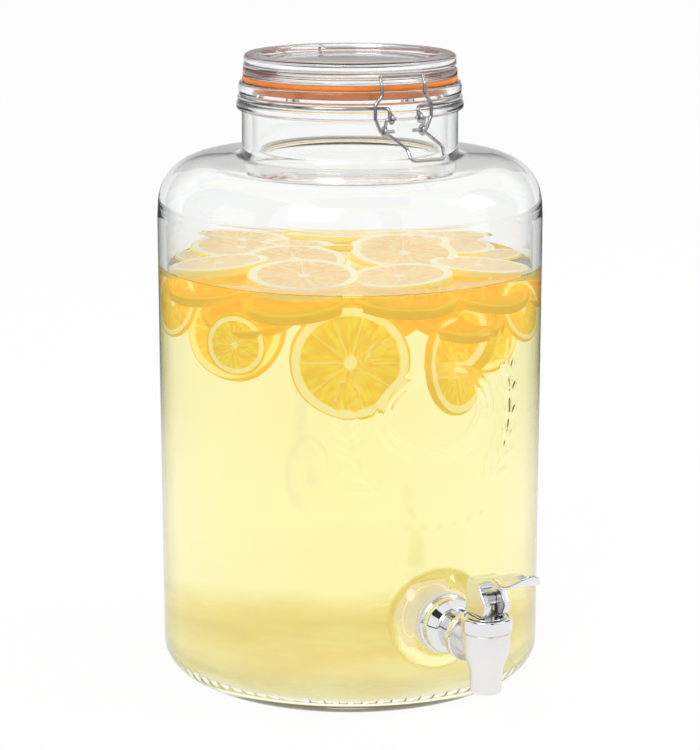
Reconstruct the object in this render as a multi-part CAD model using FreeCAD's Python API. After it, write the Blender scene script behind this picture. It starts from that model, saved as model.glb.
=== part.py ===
import FreeCAD, Part
import math
import os

V = FreeCAD.Vector
X_AXIS = V(1, 0, 0)
Y_AXIS = V(0, 1, 0)
Z_AXIS = V(0, 0, 1)

# All sizes in millimetres. The tap and the clamp face -Y, the jar stands on z = 0.

# Jar
body_radius = 104.0
body_height = 256.0
glass_wall = 4.6
floor_thickness = 7.0
push_up = 3.5
heel_radius = 15.0
foot_width = 9.0
shoulder_step = 1.6
shoulder_round = 25.0
shoulder_rise = 26.0
shoulder_slope = 2.5
neck_radius = 58.0
neck_wall = 5.5
neck_height = 24.5
neck_fillet = 4.0
bead_projection = 2.9
bead_height = 4.5
groove_offset = 0.5
groove_height = 3.8
rim_projection = 1.7
rim_height = 6.5

# Heights where the one glass piece is divided into nodes, so that its collision stays hollow
base_band = 16.0
shoulder_band = 5.0
neck_band = 0.5

# Tap boss on the jar
tap_height = 52.5
boss_radius = 22.5
boss_draft = 4.0
boss_projection = 5.0
hole_radius = 8.2
inner_pad_radius = 18.0

# Lid and gasket
seal_gap = 0.15
gasket_thickness = 2.7
gasket_radius = 57.8
gasket_width = 7.2
flange_radius = 57.5
flange_height = 4.1
lid_groove_depth = 2.1
lid_groove_height = 2.8
lid_rim_radius = 56.9
lid_rim_height = 4.8
lid_thickness = 6.5
dish_depth = 3.4
dish_radius = 48.5
plug_length = 6.0
plug_wall = 5.0
plug_gap = 2.7

# Wires
wire_radius = 0.95
wire_seat_gap = 0.1
eye_gap = 0.12
eye_extra = 0.1
wire_bend = 2.0
lid_wire_end_angle = 68.0
hinge_offset = 2.05
hinge_eye_x = 7.0
hinge_leg_x = 11.6

# Clamp, all distances from the lever pivot
pivot_gap = 0.25
pivot_x = 8.3
pivot_drop = 4.9
pivot_pin_reach = 2.6
coil_x = 11.0
coil_back = 2.6
coil_drop = 6.9
handle_reach = 21.0
handle_drop = 12.7
handle_half_width = 10.2
handle_tip_reach = 24.8
handle_tip_drop = 18.6
handle_tip_half_width = 9.4
handle_bend = 3.5
bail_half_width = 16.2
bail_neck_half_width = 12.4
bail_stub_reach = 5.4
bail_jog_low = 2.3
bail_jog_high = 6.5
bail_rest_gap = 0.45
bail_standoff = 0.9

# Tap along its horizontal axis
washer_thickness = 2.0
washer_radius = 16.6
flange_cup_radius = 15.7
flange_cup_depth = 13.0
flange_cup_mouth = 11.6
shank_radius = 7.6
shank_bore = 4.5
shank_inside = 3.0
neck_tube_radius = 8.4
bell_radius = 13.0
bell_length = 4.0
bell_gap = 10.5
spigot_radius = 6.8
spigot_wall = 2.0
spigot_depth = 4.0
barrel_setback = 15.9
nut_across = 27.0
nut_height = 6.5
inner_washer_radius = 15.0

# Tap barrel, heights from the tap axis
barrel_radius = 12.3
barrel_top = 9.2
spout_radius = 8.0
spout_length = 23.5
spout_bend_high = 2.0
spout_bend_low = 11.0
chamber_radius = 9.4
seat_drop = 6.5
seat_cone = 2.6
outlet_radius = 5.4
collar_radius = 13.0
collar_height = 7.6
collar_plug = 2.6
collar_dish = 1.6
collar_hub_radius = 9.8
collar_hub_rise = 0.3
guide_radius = 5.2
guide_flange = 0.8
running_gap = 0.06

# Valve
stem_radius = 3.0
cup_wall = 1.6
cup_height = 3.6
seat_gap = 0.1
spring_wire = 0.55
spring_radius = 4.6
spring_turns = 4.0

# Tap lever, distances from the lever pin
pin_radius = 1.5
pin_engage = 2.2
cam_base = 8.0
cam_lift = 3.0
lever_travel = 40.0
cam_gap = 0.15
block_width = 14.8
slot_width = 7.6
stem_head_gap = 0.25
block_back = 8.5
block_top = 7.6
block_front = 12.6
slot_roof = 4.4
head_radius = 3.4
paddle_reach = 49.0
paddle_rise = 21.5
paddle_mid_reach = 24.0
paddle_mid_rise = 13.5
paddle_thickness = 2.8
paddle_tip_thickness = 2.0
paddle_mid_width = 19.0
paddle_tip_width = 10.0

# Derived places
shoulder_top = body_height + shoulder_rise + shoulder_slope
bead_low = shoulder_top + neck_height
bead_high = bead_low + bead_height
bead_radius = neck_radius + bead_projection
groove_radius = neck_radius + groove_offset
groove_high = bead_high + groove_height
groove_mid = bead_high + groove_height / 2
rim_radius = neck_radius + rim_projection
rim_top = groove_high + rim_height
mouth_radius = neck_radius - neck_wall
inner_radius = body_radius - glass_wall
floor_top = push_up + floor_thickness
pad_face = math.sqrt(inner_radius ** 2 - inner_pad_radius ** 2) - 0.3

gasket_low = rim_top + seal_gap
gasket_high = gasket_low + gasket_thickness
flange_top = gasket_high + flange_height
lid_groove_top = flange_top + lid_groove_height
lid_groove_radius = flange_radius - lid_groove_depth
lid_top = lid_groove_top + lid_rim_height
plug_radius = mouth_radius - plug_gap

eye_tube = wire_radius + eye_extra
eye_ring = wire_radius + eye_gap + eye_tube
ring_radius = groove_radius + wire_radius + wire_seat_gap
hinge_y = ring_radius + wire_radius + hinge_offset
hinge_z = groove_mid
lid_wire_radius = lid_groove_radius + wire_radius + wire_seat_gap
lid_wire_z = (flange_top + lid_groove_top) / 2

pivot_y = bead_radius + pivot_gap + eye_ring + wire_radius
pivot_z = groove_mid - pivot_drop
coil_y = pivot_y - coil_back
coil_z = pivot_z - coil_drop
bar_y = flange_radius + bail_rest_gap + wire_radius
bar_z = flange_top + wire_radius + 0.3
bail_y = rim_radius + bail_standoff + wire_radius

boss_face = body_radius + boss_projection
flange_back = boss_face + washer_thickness
bell_back = flange_back + flange_cup_depth + bell_gap
bell_front = bell_back + bell_length
barrel_y = bell_front + barrel_setback
inner_washer_face = pad_face - washer_thickness
nut_face = inner_washer_face - nut_height
shank_end = nut_face - shank_inside

collar_low = tap_height + barrel_top
collar_top = collar_low + collar_height
hub_top = collar_top + collar_hub_rise
seat_z = tap_height - seat_drop
spout_low = tap_height - spout_length
pin_z = hub_top + cam_gap + cam_base
travel = math.radians(lever_travel)
cam_rate = cam_lift / travel


def rounded_edges(points, closed):
    """Return straight edges joined by tangent arcs; each point is (vector, bend radius)."""
    count = len(points)
    starts, ends, arcs = [], [], []
    for i in range(count):
        here, radius = points[i]
        inner = closed or 0 < i < count - 1
        if radius <= 0 or not inner:
            starts.append(here)
            ends.append(here)
            arcs.append(None)
            continue
        to_prev = (points[i - 1][0] - here).normalize()
        to_next = (points[(i + 1) % count][0] - here).normalize()
        half = to_prev.getAngle(to_next) / 2
        reach = radius / math.tan(half)
        a = here + to_prev * reach
        b = here + to_next * reach
        middle = (to_prev + to_next).normalize()
        m = here + middle * (radius / math.sin(half) - radius)
        starts.append(a)
        ends.append(b)
        arcs.append(Part.Arc(a, m, b).toShape())
    edges = []
    last = count if closed else count - 1
    for i in range(count):
        if arcs[i] is not None:
            edges.append(arcs[i])
        if i < last:
            a = ends[i]
            b = starts[(i + 1) % count]
            if a.distanceToPoint(b) > 1e-6:
                edges.append(Part.makeLine(a, b))
    return edges


def profile(points):
    """Return a face from corner points given as (u, v, bend radius) in the XZ plane."""
    corners = [(V(p[0], 0, p[1]), p[2] if len(p) > 2 else 0.0) for p in points]
    return Part.Face(Part.Wire(rounded_edges(corners, True)))


def lathe(points, along=None, x=0.0, y=0.0, z=0.0):
    """Revolve (radius, height, bend) points about Z, then stand the axis along -Y if asked."""
    solid = profile(points).revolve(V(0, 0, 0), Z_AXIS, 360)
    if along == "front":
        solid.rotate(V(0, 0, 0), X_AXIS, 90)
    solid.translate(V(x, y, z))
    return solid


def sweep(edges, radius):
    """Sweep a round section along joined edges."""
    path = Part.Wire(Part.__sortEdges__(edges))
    first = path.OrderedEdges[0]
    start = path.OrderedVertexes[0].Point
    at = first.FirstParameter
    if first.valueAt(at).distanceToPoint(start) > 1e-6:
        at = first.LastParameter
    section = Part.Wire(Part.makeCircle(radius, start, first.tangentAt(at)))
    return path.makePipeShell([section], True, False)


def mirrored(edges):
    """Return the edges mirrored to the other side of the YZ plane."""
    return [e.mirror(V(0, 0, 0), X_AXIS) for e in edges]


def eye(x, y, z):
    """Return one round wire eye whose hole runs along X."""
    return Part.makeTorus(eye_ring, eye_tube, V(x, y, z), X_AXIS)


def ring_arc(radius, z, start_deg, end_deg):
    """Return an arc about the jar axis, angles from -Y turning towards +X."""
    def at(angle):
        a = math.radians(angle)
        return V(radius * math.sin(a), -radius * math.cos(a), z)
    return Part.Arc(at(start_deg), at((start_deg + end_deg) / 2), at(end_deg)).toShape()


def make_jar():
    """Return the glass jar with its neck, boss, inner pad and tap hole."""
    foot = body_radius - heel_radius
    top = body_radius - shoulder_step
    corner = body_height + shoulder_rise
    inner_top = top - glass_wall
    outline = [
        (0, push_up, 0), (foot - foot_width, push_up, 3.0), (foot - foot_width + 3.5, 0, 2.0),
        (body_radius, 0, heel_radius), (body_radius, body_height, 1.0),
        (top, body_height + shoulder_step * 0.8, 0.8), (top, corner, shoulder_round),
        (neck_radius, shoulder_top, neck_fillet), (neck_radius, bead_low, 0.8),
        (bead_radius, bead_low, 1.6), (bead_radius, bead_high, 1.3),
        (groove_radius, bead_high, 0.6), (groove_radius, groove_high, 0.6),
        (rim_radius, groove_high, 1.0), (rim_radius, rim_top, 1.6), (mouth_radius, rim_top, 1.6),
        (mouth_radius, shoulder_top - glass_wall, neck_fillet), (inner_top, corner - glass_wall, shoulder_round - 3),
        (inner_radius, body_height - 2.0, 8.0), (inner_radius, floor_top, heel_radius - 4.0), (0, floor_top, 0),
    ]
    jar = lathe(outline)
    back = inner_radius - 14.0
    boss = lathe([(0, 0, 0), (boss_radius + boss_draft, 0, 0), (boss_radius, boss_face - back, 2.4),
                  (0, boss_face - back, 0)], "front", 0, -back, tap_height)
    middle = body_radius - glass_wall / 2
    pad = Part.makeCylinder(inner_pad_radius, middle - pad_face, V(0, -pad_face, tap_height), V(0, -1, 0))
    inside = Part.makeCylinder(middle, body_height, V(0, 0, 0))
    jar = jar.fuse([boss.cut(inside), pad])
    hole = Part.makeCylinder(hole_radius, 60, V(0, -pad_face + 20, tap_height), V(0, -1, 0))
    return jar.cut(hole).removeSplitter()


def jar_sections():
    """Return the glass divided by level planes into base, wall, shoulder and neck."""
    whole = make_jar()
    cuts = [-1.0, floor_top + base_band, body_height - shoulder_band, shoulder_top + neck_fillet + neck_band,
            rim_top + 1.0]
    names = ["glass_base", "glass_wall", "glass_shoulder", "glass_neck"]
    side = 3 * body_radius
    sections = {}
    for name, low, high in zip(names, cuts[:-1], cuts[1:]):
        slab = Part.makeBox(2 * side, 2 * side, high - low, V(-side, -side, low))
        sections[name] = whole.common(slab)
    return sections


def make_lid():
    """Return the glass lid with dished top, wire groove, flange and plug lip."""
    under = lid_top - dish_depth - lid_thickness
    low = gasket_high - plug_length
    return lathe([
        (0, under, 0), (plug_radius - plug_wall, under, 2.0), (plug_radius - plug_wall, low, 1.6),
        (plug_radius, low, 1.6), (plug_radius, gasket_high, 0), (flange_radius, gasket_high, 1.2),
        (flange_radius, flange_top, 0.9), (lid_groove_radius, flange_top, 0.5),
        (lid_groove_radius, lid_groove_top, 0.5), (lid_rim_radius, lid_groove_top, 0.9),
        (lid_rim_radius, lid_top, 2.0), (dish_radius, lid_top, 1.6),
        (dish_radius - 4.0, lid_top - dish_depth, 3.0), (0, lid_top - dish_depth, 0)])


def make_gasket():
    """Return the soft seal ring between the mouth rim and the lid flange."""
    inner = gasket_radius - gasket_width
    return lathe([(inner, gasket_low, 0.8), (gasket_radius, gasket_low, 1.1),
                  (gasket_radius, gasket_high, 1.1), (inner, gasket_high, 0.8)])


def make_neck_wire():
    """Return the neck ring with its two looped front ends and two rear eyes."""
    leg_y = pivot_y - eye_ring
    turn = math.asin((pivot_x + 4.2) / ring_radius)
    end = V(ring_radius * math.sin(turn), -ring_radius * math.cos(turn), groove_mid)
    lead = end + V(-math.cos(turn), -math.sin(turn), 0) * 1.6
    bend = wire_bend * 0.75
    run = [(end, 0), (lead, bend), (V(pivot_x, -leg_y, groove_mid), bend), (V(pivot_x, -leg_y, pivot_z), 0)]

    def loop_at(angle):
        a = math.radians(angle)
        return V(pivot_x, -pivot_y + eye_ring * math.cos(a), pivot_z - eye_ring * math.sin(a))
    loop = Part.Arc(loop_at(0), loop_at(145), loop_at(290)).toShape()
    front = rounded_edges(run, False) + [loop]
    degrees = math.degrees(turn)
    ring = sweep(front + [ring_arc(ring_radius, groove_mid, degrees, 360 - degrees)] + mirrored(front), wire_radius)
    return ring.fuse([eye(side * hinge_eye_x, hinge_y, hinge_z) for side in (-1, 1)])


def make_lid_wire():
    """Return the lid wire: two groove arcs, two rear legs and the hinge bar, one bent wire."""
    turn = math.asin((hinge_leg_x + 2.4) / lid_wire_radius)
    end = V(lid_wire_radius * math.sin(turn), lid_wire_radius * math.cos(turn), lid_wire_z)
    slope = math.tan(turn) * 2.4
    lead = V(hinge_leg_x, end.y + slope, lid_wire_z)
    run = [(end, 0), (lead, wire_bend * 0.8), (V(hinge_leg_x, hinge_y, lid_wire_z), wire_bend),
           (V(hinge_leg_x, hinge_y, hinge_z), wire_bend), (V(0, hinge_y, hinge_z), 0)]
    arc = ring_arc(lid_wire_radius, lid_wire_z, lid_wire_end_angle, 180 - math.degrees(turn))
    half = [arc] + rounded_edges(run, False)
    return sweep(half + mirrored(half), wire_radius)


def make_clamp_lever():
    """Return the clamp handle: pivot ends, short arms, coils and the handle loop."""
    tip_y = -pivot_y - handle_tip_reach
    tip_z = pivot_z - handle_tip_drop
    coil = V(coil_x, -coil_y, coil_z)
    knee = V(handle_half_width, -pivot_y - handle_reach, pivot_z - handle_drop)
    start = coil + (knee - coil).normalize() * eye_ring
    half = [(start, 0), (knee, handle_bend), (V(handle_tip_half_width, tip_y, tip_z), handle_bend * 0.8),
            (V(0, tip_y, tip_z), 0)]
    edges = rounded_edges(half, False)
    handle = sweep(edges + mirrored(edges), wire_radius)
    pivot = V(coil_x, -pivot_y, pivot_z)
    down = (coil - pivot).normalize()
    arm = rounded_edges([(V(pivot_x - pivot_pin_reach, -pivot_y, pivot_z), 0), (pivot, wire_bend * 0.8),
                         (coil - down * eye_ring, 0)], False)
    pieces = [sweep(arm, wire_radius), sweep(mirrored(arm), wire_radius)]
    pieces += [eye(side * coil_x, -coil_y, coil_z) for side in (-1, 1)]
    return handle.fuse(pieces)


def make_clamp_bail():
    """Return the bail: stubs in the lever coils, jogged legs and the top bar, one bent wire."""
    foot_x = coil_x + eye_tube + 0.2 + wire_radius
    jog_low = groove_mid + bail_jog_low
    jog_high = groove_mid + bail_jog_high
    run = [
        (V(bail_stub_reach, -coil_y, coil_z), 0), (V(foot_x, -coil_y, coil_z), 1.2),
        (V(bail_half_width, -bail_y, pivot_z), 2.5), (V(bail_half_width, -bail_y, jog_low), 2.5),
        (V(bail_neck_half_width, -bail_y, jog_high), 2.5), (V(bail_neck_half_width, -bail_y, bar_z - 4.2), 2.0),
        (V(bail_neck_half_width, -bar_y, bar_z), 1.3), (V(0, -bar_y, bar_z), 0),
    ]
    edges = rounded_edges(run, False)
    return sweep(edges + mirrored(edges), wire_radius)


def make_washer(outer, inner, face):
    """Return a flat washer whose inner face lies at the given distance from the jar axis."""
    return lathe([(inner, 0, 0), (outer, 0, 0.5), (outer, washer_thickness, 0.5), (inner, washer_thickness, 0)],
                 "front", 0, -face, tap_height)


def make_tap_flange():
    """Return the domed chrome cup that presses on the outer washer."""
    d = flange_cup_depth
    bore = neck_tube_radius + running_gap
    return lathe([(bore, 0, 0), (flange_cup_radius, 0, 0.6), (flange_cup_radius, 2.2, 0.8),
                  (flange_cup_radius - 0.9, 2.6, 0.5), (flange_cup_radius - 0.9, d * 0.55, 4.0),
                  (flange_cup_mouth, d, 1.6), (bore, d, 0)], "front", 0, -flange_back, tap_height)


def make_tap_shank():
    """Return the chrome neck with its bell and the tube that passes through the glass."""
    h0 = shank_end
    thread = flange_back - h0
    bell = bell_back - h0
    front = bell_front - h0
    return lathe([(shank_bore, 0, 0), (shank_radius, 0, 0.8), (shank_radius, thread, 0),
                  (neck_tube_radius, thread, 0), (neck_tube_radius, bell - 5.5, 6.0),
                  (bell_radius, bell, 0.8), (bell_radius, front, 0.8), (spigot_radius, front, 0),
                  (spigot_radius, front + spigot_depth, 0), (shank_bore, front + spigot_depth, 0)],
                 "front", 0, -h0, tap_height)


def make_tap_barrel():
    """Return the satin spout body with side socket, valve chamber, seat and outlet."""
    top = barrel_top
    barrel = lathe([(0, -spout_length, 0), (spout_radius, -spout_length, 1.0),
                    (spout_radius + 0.6, -spout_bend_low, 9.0), (barrel_radius - 0.4, -spout_bend_high, 9.0),
                    (barrel_radius, top, 0.8), (0, top, 0)], None, 0, -barrel_y, tap_height)
    stub = Part.makeCylinder(spigot_radius + spigot_wall, barrel_y - bell_front, V(0, -bell_front, tap_height), V(0, -1, 0))
    bores = lathe([(0, top, 0), (chamber_radius, top, 0), (chamber_radius, -seat_drop + seat_cone, 0),
                   (outlet_radius, -seat_drop, 0), (outlet_radius, -spout_length, 0), (0, -spout_length, 0)],
                  None, 0, -barrel_y, tap_height)
    socket = Part.makeCylinder(spigot_radius, spigot_depth, V(0, -bell_front, tap_height), V(0, -1, 0))
    duct = Part.makeCylinder(shank_bore, barrel_y - bell_front, V(0, -bell_front, tap_height), V(0, -1, 0))
    outer = barrel.fuse(stub)
    return outer.cut(bores.fuse([socket, duct])).removeSplitter()


def make_tap_collar():
    """Return the bonnet with its dished top, raised hub and plug into the barrel."""
    h = collar_height
    bore = guide_radius
    hub = h + collar_hub_rise
    return lathe([(bore, -collar_plug, 0), (chamber_radius - 0.05, -collar_plug, 0.5),
                  (chamber_radius - 0.05, 0, 0), (collar_radius, 0, 0.7), (collar_radius, h, 0.9),
                  (collar_radius - 1.6, h, 0.4), (collar_radius - 2.0, h - collar_dish, 0.3),
                  (collar_hub_radius, h - collar_dish, 0.3), (collar_hub_radius, hub, 0.5), (bore, hub, 0)],
                 None, 0, -barrel_y, collar_low)


def make_stem_guide():
    """Return the guide ring that lines the collar bore for the stem."""
    bore = stem_radius + running_gap
    low = -collar_plug - guide_flange
    return lathe([(bore, low, 0), (guide_radius + 1.6, low, 0.3), (guide_radius + 1.6, -collar_plug, 0),
                  (guide_radius, -collar_plug, 0), (guide_radius, collar_height - 0.4, 0),
                  (bore, collar_height - 0.4, 0)], None, 0, -barrel_y, collar_low)


def make_valve_stem():
    """Return the stem rod with its flat head and pin hole."""
    low = seat_z + seat_gap + cup_wall
    rod = Part.makeCylinder(stem_radius, pin_z - low, V(0, -barrel_y, low))
    half = slot_width / 2 - stem_head_gap
    head = Part.makeCylinder(head_radius, 2 * half, V(-half, -barrel_y, pin_z), X_AXIS)
    hole = Part.makeCylinder(pin_radius, 4 * half, V(-2 * half, -barrel_y, pin_z), X_AXIS)
    return rod.fuse(head).removeSplitter().cut(hole)


def make_seat_cup():
    """Return the silicone cup on the stem foot that closes the outlet."""
    low = seat_z + seat_gap
    shut = outlet_radius
    skirt = chamber_radius - 1.6
    rise = seat_cone * (skirt - shut) / (chamber_radius - shut)
    return lathe([(0, low, 0), (shut, low, 0), (skirt, low + rise, 0.3), (stem_radius + 1.4, low + cup_height, 0.5),
                  (stem_radius, low + cup_height, 0), (stem_radius, low + cup_wall, 0), (0, low + cup_wall, 0)],
                 None, 0, -barrel_y, 0)


def spring_span():
    """Return the heights of the spring ends, between seat cup and stem guide."""
    return seat_z + seat_gap + cup_height + 0.05, collar_low - collar_plug - guide_flange - 0.05


def make_return_spring():
    """Return the compression spring around the stem, between seat cup and guide."""
    low, high = spring_span()
    pitch = (high - low - 2 * spring_wire) / spring_turns
    helix = Part.makeHelix(pitch, high - low - 2 * spring_wire, spring_radius)
    section = Part.Wire(Part.makeCircle(spring_wire, V(spring_radius, 0, 0), Y_AXIS))
    coil = Part.Wire(helix.Edges).makePipeShell([section], True, True)
    coil.translate(V(0, -barrel_y, low + spring_wire))
    return coil


def make_lever_pin():
    """Return the pin that joins the stem head and the lever fork."""
    half = slot_width / 2 + pin_engage
    return Part.makeCylinder(pin_radius, 2 * half, V(-half, -barrel_y, pin_z), X_AXIS)


def side_point(u, w, x=0.0):
    """Return a point of the lever side view: u outward from the pin, w upward."""
    return V(x, -barrel_y - u, pin_z + w)


def cam_point(phi):
    """Return the cam edge point that touches the hub when the lever has turned by phi."""
    reach = cam_base + cam_rate * phi
    return (reach * math.sin(phi) + cam_rate * math.cos(phi),
            -reach * math.cos(phi) + cam_rate * math.sin(phi))


def make_tap_lever():
    """Return the fork block with its involute cam and the swept paddle."""
    half = block_width / 2
    steps = 6
    cam = [cam_point(travel * i / steps) for i in range(steps + 1)]
    curve = Part.BSplineCurve()
    curve.interpolate([side_point(u, w, -half) for u, w in cam])
    last = side_point(cam[-1][0], cam[-1][1], -half)
    rear_low = side_point(-block_back, -cam_base, -half)
    rear_high = side_point(-block_back, block_top, -half)
    front = side_point(block_front, -1.4, -half)
    crest = side_point(2.0, block_top + 0.8, -half)
    flat = [Part.makeLine(rear_low + V(0, 0, 1.2), rear_high - V(0, 0, 3.0)),
            Part.Arc(rear_high - V(0, 0, 3.0), side_point(-block_back + 1.2, block_top - 0.8, -half),
                     side_point(-block_back + 4.0, block_top + 0.5, -half)).toShape(),
            Part.makeLine(side_point(-block_back + 4.0, block_top + 0.5, -half), crest),
            Part.makeLine(crest, front), Part.makeLine(front, last), curve.toShape(),
            Part.makeLine(side_point(cam[0][0], cam[0][1], -half), rear_low + V(0, -1.2, 0)),
            Part.makeLine(rear_low + V(0, -1.2, 0), rear_low + V(0, 0, 1.2))]
    block = Part.Face(Part.Wire(Part.__sortEdges__(flat))).extrude(V(block_width, 0, 0))
    paddle = make_paddle()
    lever = block.fuse(paddle)
    low = -cam_base - 1.0
    slot = Part.makeBox(slot_width, block_back + block_front + 20, slot_roof - low,
                        side_point(block_front + 10, low, -slot_width / 2))
    hole_half = slot_width / 2 + pin_engage + 0.2
    hole = Part.makeCylinder(pin_radius + running_gap, 2 * hole_half, side_point(0, 0, -hole_half), X_AXIS)
    return lever.cut(slot).cut(hole).removeSplitter()


def make_paddle():
    """Return the leaf-shaped paddle, its side ribbon trimmed by its plan outline."""
    root_low = 3.0
    top = [(-block_back + 3.0, block_top - 0.5), (paddle_mid_reach * 0.5, block_top + 3.4),
           (paddle_mid_reach, paddle_mid_rise), (paddle_reach * 0.76, paddle_mid_rise + 3.0),
           (paddle_reach, paddle_rise)]
    low = [(paddle_reach, paddle_rise - paddle_tip_thickness),
           (paddle_reach * 0.76, paddle_mid_rise + 3.0 - paddle_tip_thickness - 0.2),
           (paddle_mid_reach, paddle_mid_rise - paddle_thickness),
           (paddle_mid_reach * 0.5, block_top + 0.4), (-block_back + 4.0, root_low)]
    width = paddle_mid_width + 8.0
    upper = Part.BSplineCurve()
    upper.interpolate([side_point(u, w, -width / 2) for u, w in top])
    lower = Part.BSplineCurve()
    lower.interpolate([side_point(u, w, -width / 2) for u, w in low])
    ends = [Part.makeLine(upper.EndPoint, lower.StartPoint), Part.makeLine(lower.EndPoint, upper.StartPoint)]
    ribbon = Part.Face(Part.Wire([upper.toShape(), ends[0], lower.toShape(), ends[1]])).extrude(V(width, 0, 0))
    half = block_width / 2
    tip = paddle_tip_width / 2
    right = Part.BSplineCurve()
    right.interpolate([V(half, -barrel_y - 6.0, 0), V(half + 0.6, -barrel_y - paddle_mid_reach * 0.6, 0),
                       V(paddle_mid_width / 2, -barrel_y - paddle_reach * 0.62, 0),
                       V(tip + 2.6, -barrel_y - paddle_reach * 0.88, 0), V(0, -barrel_y - paddle_reach, 0)])
    edge = right.toShape()
    side = Part.makeLine(V(half, -barrel_y + block_back - 2.0, 0), V(half, -barrel_y - 6.0, 0))
    back = Part.makeLine(V(-half, -barrel_y + block_back - 2.0, 0), V(half, -barrel_y + block_back - 2.0, 0))
    loop = [side, edge, back] + mirrored([side, edge])
    plan = Part.Face(Part.Wire(Part.__sortEdges__(loop))).extrude(V(0, 0, 400))
    return ribbon.common(plan)


def make_lock_nut():
    """Return the flanged hex nut that clamps the tap from inside the jar."""
    across = nut_across / math.sqrt(3)
    corners = [V(across * math.cos(math.radians(60 * i)), 0, across * math.sin(math.radians(60 * i)))
               for i in range(7)]
    hexagon = Part.Face(Part.makePolygon(corners)).extrude(V(0, -nut_height, 0))
    plate = Part.makeCylinder(inner_washer_radius, 1.6, V(0, -nut_height + 1.6, 0), V(0, -1, 0))
    bore = Part.makeCylinder(shank_radius, 3 * nut_height, V(0, nut_height, 0), V(0, -1, 0))
    nut = hexagon.fuse(plate).cut(bore)
    nut.translate(V(0, -nut_face, tap_height))
    return nut.removeSplitter()


def build():
    """Build every piece and write it to the parts folder."""
    os.makedirs("parts", exist_ok=True)
    pieces = jar_sections()
    pieces.update({
        "glass_lid": make_lid(),
        "lid_gasket": make_gasket(),
        "neck_wire": make_neck_wire(),
        "lid_wire": make_lid_wire(),
        "clamp_lever": make_clamp_lever(),
        "clamp_bail": make_clamp_bail(),
        "outer_washer": make_washer(washer_radius, shank_radius, boss_face),
        "inner_washer": make_washer(inner_washer_radius, shank_radius, inner_washer_face),
        "tap_flange": make_tap_flange(),
        "tap_shank": make_tap_shank(),
        "tap_barrel": make_tap_barrel(),
        "tap_collar": make_tap_collar(),
        "stem_guide": make_stem_guide(),
        "valve_stem": make_valve_stem(),
        "seat_cup": make_seat_cup(),
        "return_spring": make_return_spring(),
        "lever_pin": make_lever_pin(),
        "tap_lever": make_tap_lever(),
        "lock_nut": make_lock_nut(),
    })
    for name, shape in pieces.items():
        if len(shape.Solids) == 1:
            shape = shape.Solids[0]
        print(name, "solids", len(shape.Solids), "valid", shape.isValid(), "volume", round(shape.Volume, 1))
        shape.exportStep("parts/" + name + ".step")


build()
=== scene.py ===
"""Looks of a glass drink dispenser with a clip-top lid and a lever tap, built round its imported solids."""

import logging
import math
from dataclasses import dataclass, field
from enum import Enum
from typing import Callable, Optional

import bmesh
import bpy
import numpy as np
from mathutils import Matrix, Vector

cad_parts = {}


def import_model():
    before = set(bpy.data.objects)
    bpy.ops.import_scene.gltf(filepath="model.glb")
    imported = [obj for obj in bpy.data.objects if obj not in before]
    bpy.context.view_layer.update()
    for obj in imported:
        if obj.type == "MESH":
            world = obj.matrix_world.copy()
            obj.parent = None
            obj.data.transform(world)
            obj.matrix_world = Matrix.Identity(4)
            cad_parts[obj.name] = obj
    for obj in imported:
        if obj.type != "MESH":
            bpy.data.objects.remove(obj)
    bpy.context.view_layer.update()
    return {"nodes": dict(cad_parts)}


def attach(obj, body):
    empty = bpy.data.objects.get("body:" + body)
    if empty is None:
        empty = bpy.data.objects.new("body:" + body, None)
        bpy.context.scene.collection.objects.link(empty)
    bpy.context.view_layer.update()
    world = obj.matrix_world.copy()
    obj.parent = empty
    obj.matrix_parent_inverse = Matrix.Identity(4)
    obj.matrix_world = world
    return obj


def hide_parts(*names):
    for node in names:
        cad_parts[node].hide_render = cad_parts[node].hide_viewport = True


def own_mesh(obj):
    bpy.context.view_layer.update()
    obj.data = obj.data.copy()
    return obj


LOG = logging.getLogger("dispenser")
MM = 0.001
CRISP_ANGLE = 35.0
JAR_MIDDLE = 0.17
Material = bpy.types.Material
Object = bpy.types.Object
Socket = bpy.types.NodeSocket
Grid = np.ndarray
Point2 = tuple[float, float]
Colour = tuple[float, float, float]
Place = tuple[float, float, float, float, float, float, float]
Shaping = Callable[[Grid, Grid, Grid], Grid]


class Slot(Enum):
    """Material slot names of the record; nothing in this script uses them."""

    GLASS = "clear_glass"
    LID_GLASS = "lid_glass"
    GASKET = "orange_rubber"
    CHROME = "chrome"
    STEEL = "steel"


class Body(Enum):
    """Bodies of the frame that the made pieces ride on."""

    JAR = "jar"
    LID = "lid"
    HANDLE = "tap_handle"


# Shader helpers


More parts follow.
